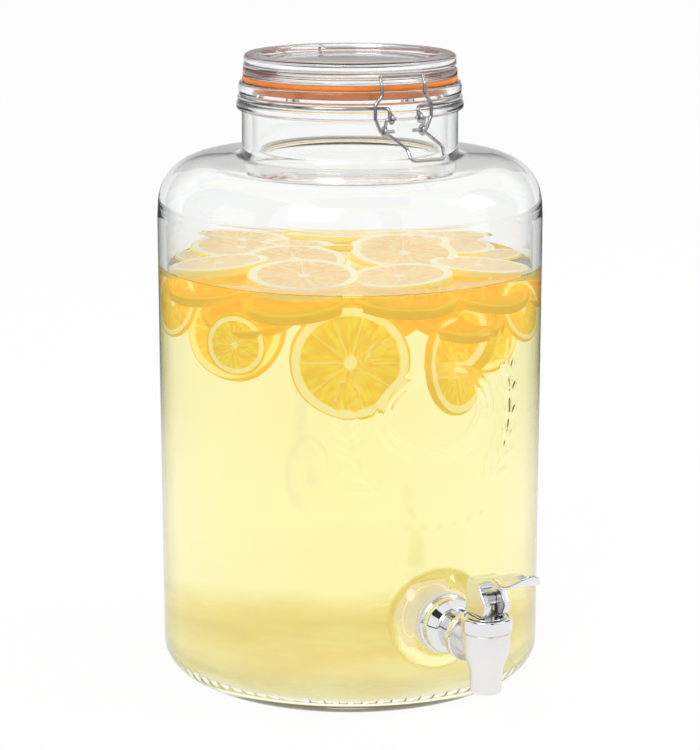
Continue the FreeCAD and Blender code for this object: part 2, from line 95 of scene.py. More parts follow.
class Shader:
    """A small writer for one material's node tree, or for the world's."""

    def __init__(self, name: str, world: bool = False) -> None:
        """Start an empty material or world of that name.

        Args:
            name: the material's name.
            world: True for the world's tree.
        """
        self.material = bpy.data.worlds.new(name) if world else bpy.data.materials.new(name)
        self.material.use_nodes = True
        self.tree = self.material.node_tree
        self.tree.nodes.clear()
        self.out = self.node("ShaderNodeOutputWorld" if world else "ShaderNodeOutputMaterial")

    def node(self, kind: str, **values: object) -> bpy.types.Node:
        """Add one node and set its plain properties.

        Args:
            kind: Blender's node type name.
            values: properties to set on the node.

        Returns:
            The new node.
        """
        made = self.tree.nodes.new(kind)
        for key, value in values.items():
            setattr(made, key, value)
        return made

    def link(self, source: Socket, target: Socket) -> None:
        """Join two sockets."""
        self.tree.links.new(source, target)

    def math(self, operation: str, first: object, second: object = 0.0,
             third: object = 0.0) -> Socket:
        """Add a math node.

        Args:
            operation: the node's operation.
            first: number or socket.
            second: number or socket.
            third: number or socket.

        Returns:
            The result socket.
        """
        made = self.node("ShaderNodeMath", operation=operation)
        for place, value in enumerate((first, second, third)):
            if isinstance(value, Socket):
                self.link(value, made.inputs[place])
            else:
                made.inputs[place].default_value = float(value)
        return made.outputs[0]

    def noise(self, scale: float, detail: float) -> Socket:
        """Add noise in object space.

        Args:
            scale: how fine the noise is.
            detail: its octaves.

        Returns:
            The value socket.
        """
        coord = self.node("ShaderNodeTexCoord")
        made = self.node("ShaderNodeTexNoise")
        made.inputs["Scale"].default_value = scale
        made.inputs["Detail"].default_value = detail
        self.link(coord.outputs["Object"], made.inputs["Vector"])
        return made.outputs["Fac"]

    def ramp(self, value: Socket, stops: list[tuple[float, Colour]]) -> Socket:
        """Add a colour ramp.

        Args:
            value: socket that drives the ramp.
            stops: pairs of place and colour.

        Returns:
            The colour socket.
        """
        made = self.node("ShaderNodeValToRGB")
        band = made.color_ramp
        while len(band.elements) < len(stops):
            band.elements.new(0.5)
        for element, (place, colour) in zip(band.elements, stops):
            element.position = place
            element.color = (*colour, 1.0)
        self.link(value, made.inputs["Fac"])
        return made.outputs["Color"]

    def principled(self, **values: object) -> bpy.types.Node:
        """Add the Principled shader, set its sockets and join it to the output.

        Args:
            values: socket names, with underscores for spaces, and their numbers, colours or sockets.

        Returns:
            The shader node.
        """
        made = self.node("ShaderNodeBsdfPrincipled")
        for key, value in values.items():
            socket = made.inputs[key.replace("_", " ")]
            if isinstance(value, Socket):
                self.link(value, socket)
            elif socket.type == "RGBA":
                socket.default_value = (*value, 1.0)
            else:
                socket.default_value = value
        self.link(made.outputs[0], self.out.inputs["Surface"])
        return made

    def bump(self, height: Socket, strength: float, distance: float) -> Socket:
        """Add a bump node.

        Args:
            height: socket that drives the bumps.
            strength: share of the bumps that shows.
            distance: their full height in metres.

        Returns:
            The normal socket.
        """
        made = self.node("ShaderNodeBump")
        made.inputs["Strength"].default_value = strength
        made.inputs["Distance"].default_value = distance
        self.link(height, made.inputs["Height"])
        return made.outputs["Normal"]

    def smooth(self, value: Socket, begin: float, end: float,
               full: float = 1.0) -> Socket:
        """Add a soft step.

        Args:
            value: socket that drives the step.
            begin: value at which it leaves 0.
            end: value at which it is full.
            full: the result past its end.

        Returns:
            The result socket.
        """
        made = self.node("ShaderNodeMapRange", interpolation_type="SMOOTHSTEP")
        made.inputs["From Min"].default_value = begin
        made.inputs["From Max"].default_value = end
        made.inputs["To Max"].default_value = full
        self.link(value, made.inputs["Value"])
        return made.outputs["Result"]

    def place(self) -> bpy.types.NodeOutputs:
        """Add object coordinates.

        Returns:
            The X, Y and Z sockets.
        """
        split = self.node("ShaderNodeSeparateXYZ")
        self.link(self.node("ShaderNodeTexCoord").outputs["Object"], split.inputs[0])
        return split.outputs

    def marks(self, base: float, spread: float, scale: float = 60.0) -> bpy.types.NodeOutputs:
        """Add the shared handling marks and return their sockets.

        Args:
            base: lowest roughness.
            spread: how far the marks add to it.
            scale: how fine the marks are.

        Returns:
            The group's outputs.
        """
        made = self.node("ShaderNodeGroup")
        made.node_tree = wear_group()
        made.inputs["Base"].default_value = base
        made.inputs["Spread"].default_value = spread
        made.inputs["Scale"].default_value = scale
        return made.outputs

    def seen(self) -> Socket:
        """Pick out camera, mirror and see-through rays, so that all three show the same ground.

        Returns:
            A socket that is 1 for those rays and 0 for others.
        """
        rays = self.node("ShaderNodeLightPath").outputs
        direct = self.math("MAXIMUM", rays["Is Camera Ray"], rays["Is Glossy Ray"])
        return self.math("MAXIMUM", direct, rays["Is Transmission Ray"])


def wear_group() -> bpy.types.ShaderNodeTree:
    """Build the shared handling-marks group once.

    Returns:
        A node group that puts out a roughness value and a fine height.
    """
    name = "handling_marks"
    if name in bpy.data.node_groups:
        return bpy.data.node_groups[name]
    group = bpy.data.node_groups.new(name, "ShaderNodeTree")
    for label, default in (("Base", 0.1), ("Spread", 0.05), ("Scale", 60.0)):
        socket = group.interface.new_socket(name=label, in_out="INPUT", socket_type="NodeSocketFloat")
        socket.default_value = default
    for label in ("Roughness", "Height"):
        group.interface.new_socket(name=label, in_out="OUTPUT", socket_type="NodeSocketFloat")
    kinds = ("NodeGroupInput", "NodeGroupOutput", "ShaderNodeTexCoord", "ShaderNodeTexNoise",
             "ShaderNodeTexNoise", "ShaderNodeMath")
    into, out, coord, coarse, fine, scaled = (group.nodes.new(kind) for kind in kinds)
    coarse.inputs["Detail"].default_value = 4.0
    fine.inputs["Scale"].default_value = 900.0
    scaled.operation = "MULTIPLY_ADD"
    for source, target in ((coord.outputs["Object"], coarse.inputs["Vector"]),
                           (coord.outputs["Object"], fine.inputs["Vector"]),
                           (into.outputs["Scale"], coarse.inputs["Scale"]),
                           (coarse.outputs["Fac"], scaled.inputs[0]),
                           (into.outputs["Spread"], scaled.inputs[1]),
                           (into.outputs["Base"], scaled.inputs[2]),
                           (scaled.outputs[0], out.inputs["Roughness"]),
                           (fine.outputs["Fac"], out.inputs["Height"])):
        group.links.new(source, target)
    return group


# Finishes


@dataclass(frozen=True)
class GlassFinish:
    """Clear pressed glass with a slight waviness, and painted shade that greys it where it turns edge-on.
    """

    name: str
    tint: Colour = (0.985, 0.995, 0.99)
    # painted shade: the dark grey the glass turns where it faces edge-on
    edge_on_shade: Colour = (0.22, 0.225, 0.215)
    wave: float = 0.04
    wave_scale: float = 26.0
    wave_depth: float = 0.002
    index: float = 1.5

    def make(self) -> Material:
        """Make the glass, with painted shade that greys it where it turns edge-on.

        Returns:
            The material.
        """
        s = Shader(self.name)
        facing = s.node("ShaderNodeLayerWeight").outputs["Facing"]
        # painted shade: the tint ramps to dark grey as the surface turns edge-on
        tone = s.ramp(facing, [(0.62, self.tint), (0.97, self.edge_on_shade)])
        wavy = s.bump(s.noise(self.wave_scale, 1.0), self.wave, self.wave_depth)
        s.principled(Base_Color=tone, Roughness=0.0, IOR=self.index, Transmission_Weight=1.0, Normal=wavy)
        return s.material


@dataclass(frozen=True)
class DrinkFinish:
    """Clear yellow drink that deepens with thickness, with a faint painted glow for the light its haze
    scatters.
    """

    name: str
    absorb: Colour = (1.0, 0.915, 0.20)
    density: float = 5.0
    # strength of the drink's painted glow
    haze_glow: float = 0.032
    face: Colour = (1.0, 0.995, 0.94)
    glow_gold: Colour = (1.0, 0.88, 0.26)
    glow_pale: Colour = (1.0, 0.93, 0.40)
    index: float = 1.333

    def make(self) -> Material:
        """Make the drink with its absorbing volume and its painted glow.

        Returns:
            The material.
        """
        s = Shader(self.name)
        # painted light: a faint gold and pale glow drawn through the drink, standing in for light its haze
        # scatters
        glow_colour = s.ramp(s.noise(14.0, 3.0), [(0.35, self.glow_gold), (0.7, self.glow_pale)])
        s.principled(Base_Color=self.face, Roughness=0.0, IOR=self.index, Transmission_Weight=1.0,
                     Emission_Color=glow_colour, Emission_Strength=self.haze_glow)
        deep = s.node("ShaderNodeVolumeAbsorption")
        deep.inputs["Color"].default_value = (*self.absorb, 1.0)
        deep.inputs["Density"].default_value = self.density
        s.link(deep.outputs[0], s.out.inputs["Volume"])
        return s.material


@dataclass(frozen=True)
class PulpFinish:
    """Fine pulp settled in a soft film on the bottom of the jar."""

    name: str
    pale: Colour = (0.77, 0.76, 0.50)
    gold: Colour = (0.72, 0.66, 0.33)
    low: float = 0.005
    high: float = 0.026
    cover: float = 0.74
    # strength of the film's painted glow
    glow: float = 0.5
    uneven: float = 0.016

    def make(self) -> Material:
        """Make the film, which thins out towards its uneven upper edge and glows with painted light in its
        own colours.

        Returns:
            The material.
        """
        s = Shader(self.name)
        bumpy = s.math("SUBTRACT", s.noise(26.0, 3.0), 0.5)
        height = s.math("MULTIPLY_ADD", bumpy, self.uneven, s.place()[2])
        settled = s.smooth(height, self.high, self.low, self.cover)
        colour = s.ramp(s.noise(18.0, 4.0), [(0.35, self.gold), (0.65, self.pale)])
        # painted light: the film glows in its own colours, standing in for light that reaches the bottom
        # through glass and drink
        s.principled(Base_Color=colour, Roughness=0.8, Alpha=settled, Specular_IOR_Level=0.0,
                     Emission_Color=colour, Emission_Strength=self.glow)
        return s.material


@dataclass(frozen=True)
class MetalFinish:
    """Plated or bare metal with faint handling marks."""

    name: str
    colour: Colour
    base: float
    spread: float
    scale: float = 60.0
    metallic: float = 1.0
    relief: float = 0.0
    depth: float = 0.0002

    def make(self) -> Material:
        """Make the metal.

        Returns:
            The material.
        """
        s = Shader(self.name)
        marks = s.marks(self.base, self.spread, self.scale)
        shader = s.principled(Base_Color=self.colour, Metallic=self.metallic, Roughness=marks["Roughness"])
        if self.relief > 0:
            s.link(s.bump(marks["Height"], self.relief, self.depth), shader.inputs["Normal"])
        return s.material


@dataclass(frozen=True)
class RubberFinish:
    """Moulded rubber or silicone, which glows with painted light when its glow is above 0."""

    name: str
    colour: Colour
    dark: Colour
    rough: float = 0.42
    clear: float = 0.0
    glow: float = 0.0
    spread: float = 0.12
    depth: float = 0.0003

    def make(self) -> Material:
        """Make the rubber, with its painted glow.

        Returns:
            The material.
        """
        s = Shader(self.name)
        tone = s.ramp(s.noise(90.0, 3.0), [(0.3, self.dark), (0.7, self.colour)])
        marks = s.marks(self.rough, self.spread)
        # painted light: with glow above 0 the rubber glows in its own tone
        s.principled(Base_Color=tone, Roughness=marks["Roughness"], Transmission_Weight=self.clear,
                     Emission_Color=tone, Emission_Strength=self.glow,
                     Normal=s.bump(marks["Height"], 0.15, self.depth))
        return s.material


@dataclass(frozen=True)
class FruitFinish:
    """Cut lemon: golden segments, pale membranes and pith, yellow rind, glowing with painted light."""

    name: str
    radius: float
    flesh: Colour = (0.86, 0.55, 0.004)
    bright: Colour = (0.98, 0.72, 0.03)
    pith: Colour = (0.97, 0.84, 0.34)
    rind: Colour = (0.90, 0.56, 0.004)
    segments: int = 10
    # strength of the fruit's painted glow
    glow: float = 0.5
    membrane: float = 0.55
    shine: float = 0.08
    membrane_gap: Point2 = (0.0004, 0.0017)
    flesh_edge: Point2 = (0.85, 0.81)
    core_edge: Point2 = (0.07, 0.13)
    rind_edge: Point2 = (0.955, 0.985)
    grain_scale: float = 420.0
    grain_along: float = 0.35
    grain_round: float = 0.016
    scatter: Colour = (0.006, 0.004, 0.0015)

    def ring(self, s: Shader, far: Socket, edge: Point2) -> Socket:
        """Return a soft step between two shares of the slice's radius."""
        return s.smooth(far, self.radius * edge[0], self.radius * edge[1])

    def blend(self, s: Shader, first: object, second: object,
              factor: Socket) -> Socket:
        """Return two colours mixed by a mask.

        Args:
            s: the material being written.
            first: colour or socket where the mask is 0.
            second: colour or socket where the mask is 1.
            factor: the mask.

        Returns:
            The mixed colour.
        """
        made = s.node("ShaderNodeMix", data_type="RGBA")
        for place, value in (("A", first), ("B", second)):
            if isinstance(value, Socket):
                s.link(value, made.inputs[place])
            else:
                made.inputs[place].default_value = (*value, 1.0)
        s.link(factor, made.inputs["Factor"])
        return made.outputs["Result"]

    def make(self) -> Material:
        """Make the cut fruit, drawn in polar object space and glowing with painted light in its own
        colours.

        Returns:
            The material.
        """
        s = Shader(self.name)
        x, y, z = s.place()
        far = s.math("SQRT", s.math("ADD", s.math("MULTIPLY", x, x), s.math("MULTIPLY", y, y)))
        turn = s.math("ARCTAN2", y, x)
        uneven = s.math("MULTIPLY", s.math("SINE", s.math("MULTIPLY", turn, 3.0)), 0.35)
        ray = s.math("SINE", s.math("ADD", s.math("MULTIPLY", turn, self.segments / 2), uneven))
        gap = s.smooth(s.math("MULTIPLY", s.math("ABSOLUTE", ray), far), *self.membrane_gap)
        pulp = s.math("MULTIPLY_ADD", gap, self.membrane, 1.0 - self.membrane)
        pulp = s.math("MULTIPLY", pulp, self.ring(s, far, self.flesh_edge))
        pulp = s.math("MULTIPLY", pulp, self.ring(s, far, self.core_edge))
        stretch = s.node("ShaderNodeCombineXYZ")
        s.link(s.math("MULTIPLY", far, self.grain_along), stretch.inputs[0])
        s.link(s.math("MULTIPLY", turn, self.grain_round), stretch.inputs[1])
        s.link(z, stretch.inputs[2])
        grain = s.node("ShaderNodeTexVoronoi")
        grain.inputs["Scale"].default_value = self.grain_scale
        s.link(stretch.outputs[0], grain.inputs["Vector"])
        juicy = s.ramp(grain.outputs["Distance"], [(0.1, self.bright), (0.75, self.flesh)])
        cut = self.blend(s, self.pith, juicy, pulp)
        colour = self.blend(s, cut, self.rind, self.ring(s, far, self.rind_edge))
        dimple = s.math("MULTIPLY", s.math("SUBTRACT", 1.0, grain.outputs["Distance"]), pulp)
        # painted light: the fruit glows in its own colours, standing in for light shining through the
        # slices
        s.principled(Base_Color=colour, Roughness=0.32, Specular_IOR_Level=self.shine,
                     Subsurface_Weight=0.3, Subsurface_Radius=self.scatter,
                     Normal=s.bump(dimple, 0.35, 0.0006),
                     Emission_Color=colour, Emission_Strength=self.glow)
        return s.material


# Mesh helpers


def rounded(points: list[tuple[float, float, float]], step: float = 9.0) -> list[Point2]:
    """Return a closed outline with rounded corners.

    Args:
        points: corners as (u, v, radius).
        step: largest turn per arc segment in degrees.

    Returns:
        Outline points in order.
    """
    out: list[Point2] = []
    count = len(points)
    for i, (u, v, radius) in enumerate(points):
        here = Vector((u, v))
        if radius <= 0:
            out.append((u, v))
            continue
        back = (Vector(points[i - 1][:2]) - here).normalized()
        ahead = (Vector(points[(i + 1) % count][:2]) - here).normalized()
        half = math.acos(max(-1.0, min(1.0, back.dot(ahead)))) / 2
        reach = radius / math.tan(half)
        centre = here + (back + ahead).normalized() * (radius / math.sin(half))
        first = here + back * reach - centre
        sweep = math.pi - 2 * half
        cross = back.x * ahead.y - back.y * ahead.x
        parts = max(2, math.ceil(math.degrees(sweep) / step))
        for k in range(parts + 1):
            a = sweep * k / parts * (-1 if cross > 0 else 1)
            turned = Vector((first.x * math.cos(a) - first.y * math.sin(a),
                             first.x * math.sin(a) + first.y * math.cos(a)))
            out.append(tuple(centre + turned))
    return out


def densify(outline: list[Point2], longest: float | Callable[[float, float], float]) -> list[Point2]:
    """Split the long runs of a closed outline.

    Args:
        outline: points in order.
        longest: longest step, or a function of the step's middle that gives it.

    Returns:
        The finer outline.
    """
    out: list[Point2] = []
    for i, here in enumerate(outline):
        ahead = outline[(i + 1) % len(outline)]
        length = math.dist(here, ahead)
        middle = ((here[0] + ahead[0]) / 2, (here[1] + ahead[1]) / 2)
        most = longest(*middle) if callable(longest) else longest
        parts = max(1, math.ceil(length / most))
        for k in range(parts):
            t = k / parts
            out.append((here[0] + (ahead[0] - here[0]) * t, here[1] + (ahead[1] - here[1]) * t))
    return out


def ease(share: Grid) -> Grid:
    """Return a share from 0 to 1 with a soft start and end."""
    share = np.clip(share, 0, 1)
    return share * share * (3 - 2 * share)


def even_columns(count: int) -> Grid:
    """Return that many angles evenly round a circle."""
    return np.linspace(0, 2 * math.pi, count + 1)[:-1]


def get_points(mesh: bpy.types.Mesh) -> Grid:
    """Read a mesh's points as rows of X, Y and Z.

    Args:
        mesh: the mesh to read.

    Returns:
        The rows.
    """
    flat = np.empty(len(mesh.vertices) * 3)
    mesh.vertices.foreach_get("co", flat)
    return flat.reshape(-1, 3)


def set_points(mesh: bpy.types.Mesh, points: Grid) -> None:
    """Move a mesh's points to new rows of X, Y and Z."""
    mesh.vertices.foreach_set("co", points.reshape(-1))
    mesh.update()


def add_object(name: str, data: bpy.types.ID) -> Object:
    """Put a mesh, lamp or camera into the scene.

    Args:
        name: object name.
        data: its mesh, lamp or camera.

    Returns:
        The linked object.
    """
    obj = bpy.data.objects.new(name, data)
    bpy.context.scene.collection.objects.link(obj)
    return obj


def coat(mesh: bpy.types.Mesh, material: Material) -> None:
    """Make one material a mesh's only one."""
    mesh.materials.clear()
    mesh.materials.append(material)


def smooth_object(name: str, verts: Grid, faces: list[tuple[int, ...]],
                  material: Material) -> Object:
    """Make a smooth-shaded object from points and faces.

    Args:
        name: object name.
        verts: points in metres.
        faces: index tuples.
        material: the piece's material.

    Returns:
        The linked object.
    """
    mesh = bpy.data.meshes.new(name)
    mesh.from_pydata(verts.tolist(), [], faces)
    work = bmesh.new()
    work.from_mesh(mesh)
    bmesh.ops.remove_doubles(work, verts=work.verts, dist=1e-6)
    bmesh.ops.recalc_face_normals(work, faces=work.faces)
    work.to_mesh(mesh)
    work.free()
    mesh.materials.append(material)
    mesh.shade_smooth()
    mesh.set_sharp_from_angle(angle=math.radians(CRISP_ANGLE))
    return add_object(name, mesh)


def lathe(name: str, outline: list[Point2], material: Material,
          turns: Optional[Grid] = None, shape: Optional[Shaping] = None) -> Object:
    """Turn a closed outline about the jar axis.

    Args:
        name: object name.
        outline: (radius, height) points in millimetres.
        material: the piece's material.
        turns: column angles, measured from -Y towards +X.
        shape: optional change of radius from (angle, radius, height).

    Returns:
        The new object.
    """
    if turns is None:
        turns = even_columns(192)
    rows = np.array(outline)
    turn_grid, radius = np.meshgrid(turns, rows[:, 0])
    height = np.repeat(rows[:, 1][:, None], len(turns), 1)
    if shape is not None:
        radius = shape(turn_grid, radius, height)
    verts = np.stack([radius * np.sin(turn_grid), -radius * np.cos(turn_grid), height], -1)
    count, columns = len(rows), len(turns)
    faces = []
    for i in range(count):
        j = (i + 1) % count
        if rows[i, 0] < 1e-9 and rows[j, 0] < 1e-9:
            continue
        for k in range(columns):
            n = (k + 1) % columns
            faces.append((i * columns + k, i * columns + n, j * columns + n, j * columns + k))
    return smooth_object(name, verts.reshape(-1, 3) * MM, faces, material)


# Sub-assemblies


@dataclass
class Ornament:
    """Low relief on the front of the jar: two leaf sprigs round a plain oval."""

    height: float = 0.65
    low: float = 92.0
    high: float = 238.0
    half_turn: float = 0.75
    middle: float = 163.0
    ovals: tuple[tuple[float, float, float], ...] = ((33.0, 24.0, 1.3), (28.5, 19.8, 0.7))
    oval_slope: float = 1.2
    oval_soft: float = 0.7
    sprig_away: float = 20.0
    sprig_wide: float = 30.0
    sprig_tall: float = 44.0
    sprig_bend: float = 62.0
    stalk_end: float = 1.12
    stalk_half: float = 1.5
    stalk_scale: float = 34.0
    stalk_share: float = 0.8
    leaf_pairs: int = 9
    leaf_flare: float = 34.0
    leaf_long: float = 7.6
    leaf_wide: float = 2.9
    long_taper: float = 1.6
    wide_taper: float = 0.5
    leaf_slope: float = 2.2
    rib_depth: float = 0.35
    rib_half: float = 0.7
    row_half: int = 3
    row_gap: float = 9.0
    rows: tuple[tuple[float, float, float, float], ...] = (
        (226.0, -0.35, 4.6, 2.4),
        (101.0, 0.35, 3.2, 1.9),
    )

    def leaves(self) -> list[tuple[float, float, float, float, float]]:
        """Lay out the leaves of both sprigs and of the short rows above and below.

        Returns:
            Rows of (across, up, angle, half length, half width).
        """
        out = []
        for side in (-1, 1):
            for k in range(self.leaf_pairs):
                t = k / (self.leaf_pairs - 1)
                bow = math.radians(self.sprig_bend * (2 * t - 1))
                across = side * (self.sprig_away + self.sprig_wide * math.cos(bow))
                up = self.middle + self.sprig_tall * math.sin(bow)
                rise, run = self.sprig_tall * math.cos(bow), -self.sprig_wide * math.sin(bow)
                along = math.degrees(math.atan2(rise, run))
                reach = self.leaf_long - self.long_taper * t
                width = self.leaf_wide - self.wide_taper * t
                for flare in (self.leaf_flare, -self.leaf_flare):
                    angle = along + flare
                    a = math.radians(angle)
                    out.append((across + side * reach * math.cos(a), up + reach * math.sin(a),
                                angle if side > 0 else 180 - angle, reach, width))
        for base, arch, half, width in self.rows:
            for k in range(-self.row_half, self.row_half + 1):
                out.append((k * self.row_gap, base + arch * k * k, 90, half, width))
        return out

    def share(self, across: Grid, up: Grid) -> Grid:
        """Return how much of the full relief stands at each point, from 0 to 1.

        Args:
            across: distance round the wall from the tap's side, in millimetres.
            up: height in millimetres.

        Returns:
            The share at each point.
        """
        total = np.zeros_like(across)
        for leaf_across, leaf_up, angle, half, width in self.leaves():
            a = math.radians(angle)
            p = (across - leaf_across) * math.cos(a) + (up - leaf_up) * math.sin(a)
            q = -(across - leaf_across) * math.sin(a) + (up - leaf_up) * math.cos(a)
            room = width * np.clip(1 - (p / half) ** 2, 0, 1)
            rib = 1 - self.rib_depth * np.exp(-(q / self.rib_half) ** 2)
            total = np.maximum(total, ease((room - np.abs(q)) / self.leaf_slope) * rib)
        over = up - self.middle
        for wide, tall, line in self.ovals:
            gap = np.abs(np.hypot(across / wide, over / tall) - 1) * min(wide, tall)
            total = np.maximum(total, ease((line + self.oval_soft - gap) / self.oval_slope))
        for side in (-1, 1):
            run, rise = (side * across - self.sprig_away) / self.sprig_wide, over / self.sprig_tall
            away = np.abs(np.hypot(run, rise) - 1) * self.stalk_scale
            within = np.abs(np.arctan2(rise, run)) < self.stalk_end
            total = np.maximum(total, self.stalk_share * np.clip(self.stalk_half - away, 0, 1) * within)
        return total


@dataclass
class Jar:
    """The glass jar, its relief and the drink shown in it."""

    body_radius: float = 104.0
    body_height: float = 256.0
    wall: float = 4.6
    floor_top: float = 7.0
    push_up: float = 2.5
    push_up_radius: float = 80.0
    foot_radius: float = 83.5
    heel: float = 15.0
    inner_heel: float = 13.0
    step: float = 0.5
    step_run: float = 4.0
    step_round: float = 12.0
    shoulder_round: float = 25.0
    shoulder_rise: float = 26.0
    shoulder_top: float = 284.5
    neck_radius: float = 58.0
    neck_floor: float = 2.8
    neck_round: float = 8.0
    mouth_radius: float = 52.5
    bead_radius: float = 60.9
    bead_low: float = 309.0
    bead_high: float = 313.5
    groove_radius: float = 58.5
    groove_high: float = 317.3
    rim_radius: float = 59.7
    rim_top: float = 323.8
    tap_height: float = 52.5
    boss_radius: float = 22.5
    boss_face: float = 109.0
    boss_blend: float = 6.0
    boss_slope: float = 11.5
    boss_top: float = 120.0
    boss_turn: float = 0.7
    fill_height: float = 225.0
    fill_overlap: float = 0.25
    fill_step: float = 4.0
    climb: float = 0.9
    climb_run: float = 1.6
    film_height: float = 20.0
    film_thick: float = 0.5
    film_side: float = 0.9
    film_bed: float = 0.7
    knurl_count: int = 72
    knurl_radius: float = 89.5
    knurl_half: float = 4.2
    knurl_edge: float = 1.2
    knurl_sharp: float = 1.6
    knurl_reach: float = 2.2
    knurl_depth: float = 0.8
    inner_step: float = 3.0
    outer_step: float = 1.5
    fine_step: float = 0.9
    fine_low: float = 22.0
    fine_high: float = 240.0
    fine_turn: float = 44.0
    fine_angle: float = 0.4
    coarse_angle: float = 1.2
    ornament: Ornament = field(default_factory=Ornament)
    finish: GlassFinish = field(default_factory=lambda: GlassFinish("jar_glass"))
    drink: DrinkFinish = field(default_factory=lambda: DrinkFinish("yellow_drink"))
    pulp: PulpFinish = field(default_factory=lambda: PulpFinish("settled_pulp"))

    def outline(self) -> list[Point2]:
        """Draw the closed glass section.

        Returns:
            (radius, height) points in millimetres.
        """
        top = self.body_radius - self.step
        corner = self.body_height + self.shoulder_rise
        inner = self.body_radius - self.wall
        points = [
            (0, self.push_up, 0), (self.push_up_radius, self.push_up, 3.0), (self.foot_radius, 0, 2.0),
            (self.body_radius, 0, self.heel),
            (self.body_radius, self.body_height - self.step_run, self.step_round),
            (top, self.body_height + self.step_run, self.step_round), (top, corner, self.shoulder_round),
            (self.neck_radius, self.shoulder_top, 4.0), (self.neck_radius, self.bead_low, 0.8),
            (self.bead_radius, self.bead_low, 1.6), (self.bead_radius, self.bead_high, 1.3),
            (self.groove_radius, self.bead_high, 0.6), (self.groove_radius, self.groove_high, 0.6),
            (self.rim_radius, self.groove_high, 1.0), (self.rim_radius, self.rim_top, 1.6),
            (self.mouth_radius, self.rim_top, 1.6),
            (self.mouth_radius, self.shoulder_top - self.neck_floor, self.neck_round),
            (top - self.wall, corner - self.wall, self.shoulder_round - 3),
            (inner, self.body_height - 2.0, 8.0), (inner, self.floor_top, self.inner_heel),
            (0, self.floor_top, 0),
        ]
        return densify(rounded(points), self.spacing)

    def spacing(self, radius: float, height: float) -> float:
        """Return the longest mesh step wanted at a place on the section."""
        if radius < self.body_radius - self.wall * 0.5:
            return self.inner_step
        return self.fine_step if self.fine_low < height < self.fine_high else self.outer_step

    def boss(self, turn: Grid, radius: Grid, height: Grid) -> Grid:
        """Push the front of the outer wall out into the round tap boss and the ornament.

        Args:
            turn: column angles.
            radius: section radii.
            height: section heights.

        Returns:
            The changed radii.
        """
        near = (turn + math.pi) % (2 * math.pi) - math.pi
        outer = radius > self.body_radius - self.wall * 0.5
        front = (np.abs(near) < self.boss_turn) & outer & (height < self.boss_top)
        away = np.hypot(radius * np.sin(near), height - self.tap_height)
        face = self.boss_face / np.maximum(np.cos(near), 0.3)
        lift = ease((self.boss_radius + self.boss_blend - away) / self.boss_slope)
        shaped = np.where(front, radius + np.maximum(face - radius, 0) * lift, radius)
        band = (height > self.ornament.low) & (height < self.ornament.high)
        plate = (np.abs(near) < self.ornament.half_turn) & (radius > self.body_radius - self.step) & band
        raised = self.ornament.height * self.ornament.share(near * self.body_radius, height)
        return np.where(plate, shaped + raised, shaped)

    def knurl(self, glass: Object) -> None:
        """Press a ring of short bars into the underside of the foot.

        Args:
            glass: the jar's glass.
        """
        place = get_points(glass.data)
        away = np.hypot(place[:, 0], place[:, 1]) / MM
        turn = np.arctan2(place[:, 0], -place[:, 1])
        band = np.clip((self.knurl_half - np.abs(away - self.knurl_radius)) / self.knurl_edge, 0, 1)
        bar = np.clip(0.5 + self.knurl_sharp * np.sin(turn * self.knurl_count), 0, 1)
        under = place[:, 2] < self.knurl_reach * MM
        place[:, 2] += np.where(under, self.knurl_depth * MM * band * bar, 0)
        set_points(glass.data, place)

    def columns(self) -> Grid:
        """Lay out the mesh columns, closer together round the tap boss.

        Returns:
            The angles in radians.
        """
        fine = np.arange(-self.fine_turn, self.fine_turn, self.fine_angle)
        coarse = np.arange(self.fine_turn, 360 - self.fine_turn, self.coarse_angle)
        return np.radians(np.concatenate([fine, coarse]))

    def build(self) -> list[Object]:
        """Make the jar glass, the drink and its pulp.

        Returns:
            The three pieces.
        """
        glass = lathe("jar_shell", self.outline(), self.finish.make(), self.columns(), self.boss)
        self.knurl(glass)
        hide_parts("glass_base", "glass_wall", "glass_shoulder", "glass_neck")
        inner = self.body_radius - self.wall + self.fill_overlap
        low = self.floor_top - self.fill_overlap
        level = self.fill_height
        body = [(0, low, 0), (inner, low, self.inner_heel), (inner, level + self.climb, 0),
                (inner - self.climb_run, level, 0), (0, level, 0)]
        drink = lathe("drink_fill", densify(rounded(body), self.fill_step), self.drink.make())
        edge, bed, top = inner - self.film_side, low + self.film_bed, low + self.film_height
        within, over = edge - self.film_thick, bed + self.film_thick
        film = [(0, bed, 0), (edge, bed, self.inner_heel - 0.8), (edge, top, 0), (within, top, 0),
                (within, over, self.inner_heel - 1.3), (0, over, 0)]
        pulp = lathe("pulp_film", densify(rounded(film), self.fill_step), self.pulp.make())
        for piece in (glass, drink, pulp):
            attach(piece, Body.JAR.value)
        return [glass, drink, pulp]


